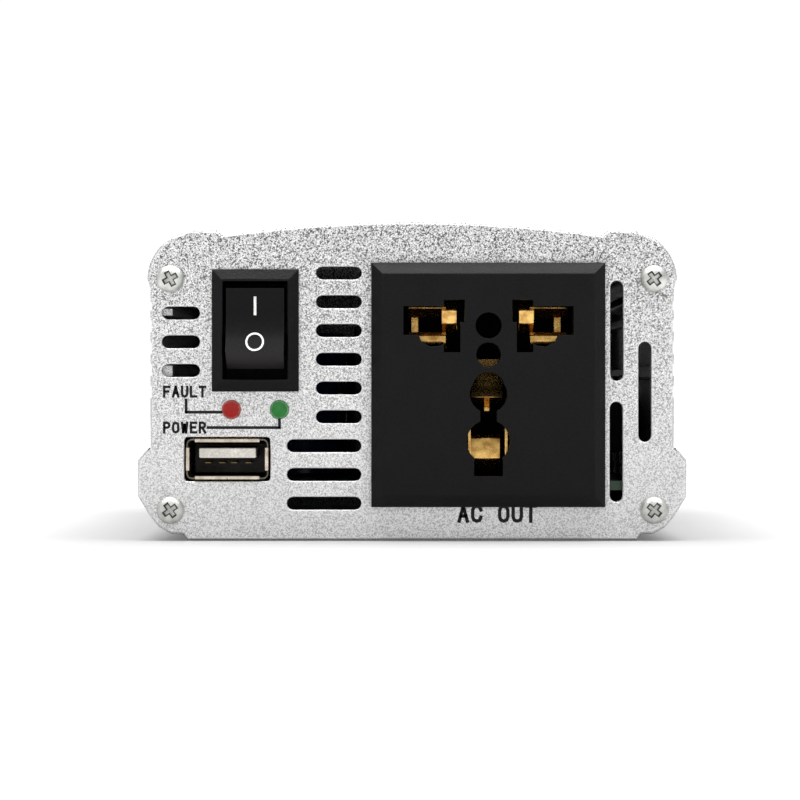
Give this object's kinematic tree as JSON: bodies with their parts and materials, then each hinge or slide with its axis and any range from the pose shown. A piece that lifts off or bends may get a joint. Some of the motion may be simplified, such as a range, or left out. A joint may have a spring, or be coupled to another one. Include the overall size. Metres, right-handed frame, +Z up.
{
  "type": "power inverter",
  "caption": "Battery-fed power inverter: silver extruded case, universal mains socket, rocker switch, USB outlet, lamps, slots, fan and screw terminals.",
  "frame": {"origin": "centre of the flat underside of the case", "axes": "+Z up, +Y from the socket panel to the battery-terminal panel, +X to the right when looking at the socket panel"},
  "size_m": [0.095, 0.1709, 0.0552],
  "materials": {
    "anodised_case": "sandblasted silver anodising",
    "panel_plate": "coarse sandblasted silver anodising",
    "zinc_steel": "bright zinc plate",
    "black_plastic": "fine satin moulding",
    "white_plastic": "satin moulding",
    "copper": "copper",
    "brass": "plain brass",
    "red_lens": "diffused red lens",
    "green_lens": "diffused green lens",
    "nickel": "nickel plate",
    "board": "solder mask",
    "ferrite": "dark ferrite",
    "winding": "yellow tape",
    "capacitor_sleeve": "dark blue sleeve",
    "orange_plastic": "translucent orange",
    "red_plastic": "red moulding"
  },
  "bodies": {
    "case": {"upper_housing": "anodised_case", "lower_housing": "anodised_case", "front_panel": "panel_plate", "rear_panel": "panel_plate", "front_screw_1": "zinc_steel", "front_screw_2": "zinc_steel", "front_screw_3": "zinc_steel", "front_screw_4": "zinc_steel", "rear_screw_1": "zinc_steel", "rear_screw_2": "zinc_steel", "rear_screw_3": "zinc_steel", "rear_screw_4": "zinc_steel", "fan_screw_1": "zinc_steel", "fan_screw_2": "zinc_steel", "fan_screw_3": "zinc_steel", "fan_screw_4": "zinc_steel", "clamp_bar_left": "zinc_steel", "clamp_bar_right": "zinc_steel", "switch_housing": "black_plastic", "socket_housing": "black_plastic", "socket_back_cover": "black_plastic", "fan_frame": "black_plastic", "controller_chip": "black_plastic", "negative_bush": "black_plastic", "negative_lead": "black_plastic", "power_transistor_1": "black_plastic", "power_transistor_2": "black_plastic", "power_transistor_3": "black_plastic", "power_transistor_4": "black_plastic", "usb_tongue": "white_plastic", "toroid_inductor": "copper", "switch_terminal_common": "brass", "switch_terminal_load": "brass", "socket_live_contact": "brass", "socket_neutral_contact": "brass", "socket_earth_contact": "brass", "positive_stud": "brass", "negative_stud": "brass", "fault_led": "red_lens", "power_led": "green_lens", "usb_shell": "nickel", "main_board": "board", "transformer_core": "ferrite", "transformer_winding": "winding", "hv_capacitor": "capacitor_sleeve", "input_capacitor_1": "capacitor_sleeve", "input_capacitor_2": "capacitor_sleeve", "input_fuse": "orange_plastic", "positive_bush": "red_plastic", "positive_lead": "red_plastic", "live_lead": "red_plastic"},
    "rocker": {"switch_rocker": "black_plastic", "switch_plunger": "white_plastic", "switch_spring": "zinc_steel"},
    "contact_blade": {"switch_contact_blade": "copper"},
    "fan_rotor": {"fan_rotor": "black_plastic"},
    "positive_washer": {"positive_washer": "brass"},
    "positive_knob": {"positive_knob": "red_plastic"},
    "negative_washer": {"negative_washer": "brass"},
    "negative_knob": {"negative_knob": "black_plastic"}
  },
  "joints": [
    {"name": "rocker_tilt", "type": "hinge", "parent": "case", "child": "rocker", "pos_m": [-0.02705, -0.0716, 0.0367], "axis": [1, 0, 0], "range_deg": [0, 24]},
    {"name": "contact_blade_tilt", "type": "hinge", "parent": "case", "child": "contact_blade", "pos_m": [-0.02705, -0.0656, 0.0367], "axis": [1, 0, 0], "range_deg": [-12, 0]},
    {"name": "fan_spin", "type": "hinge", "parent": "case", "child": "fan_rotor", "pos_m": [0.016, 0.0632, 0.031], "axis": [0, 1, 0], "continuous": true},
    {"name": "positive_washer_slide", "type": "slide", "parent": "case", "child": "positive_washer", "axis": [0, 1, 0], "range_m": [0, 0.00239]},
    {"name": "positive_knob_turn", "type": "hinge", "parent": "positive_washer", "child": "positive_knob", "pos_m": [-0.032, 0.0798, 0.024], "axis": [0, 1, 0], "range_deg": [0, 1080]},
    {"name": "negative_washer_slide", "type": "slide", "parent": "case", "child": "negative_washer", "axis": [0, 1, 0], "range_m": [0, 0.00239]},
    {"name": "negative_knob_turn", "type": "hinge", "parent": "negative_washer", "child": "negative_knob", "pos_m": [-0.015, 0.0798, 0.024], "axis": [0, 1, 0], "range_deg": [0, 1080]}
  ],
  "couplings": [
    {"joint": "contact_blade_tilt", "follows": "rocker_tilt", "ratio": -0.5},
    {"joint": "positive_knob_turn", "follows": "positive_washer_slide", "rad_per_m": 7854},
    {"joint": "negative_knob_turn", "follows": "negative_washer_slide", "rad_per_m": 7854}
  ]
}
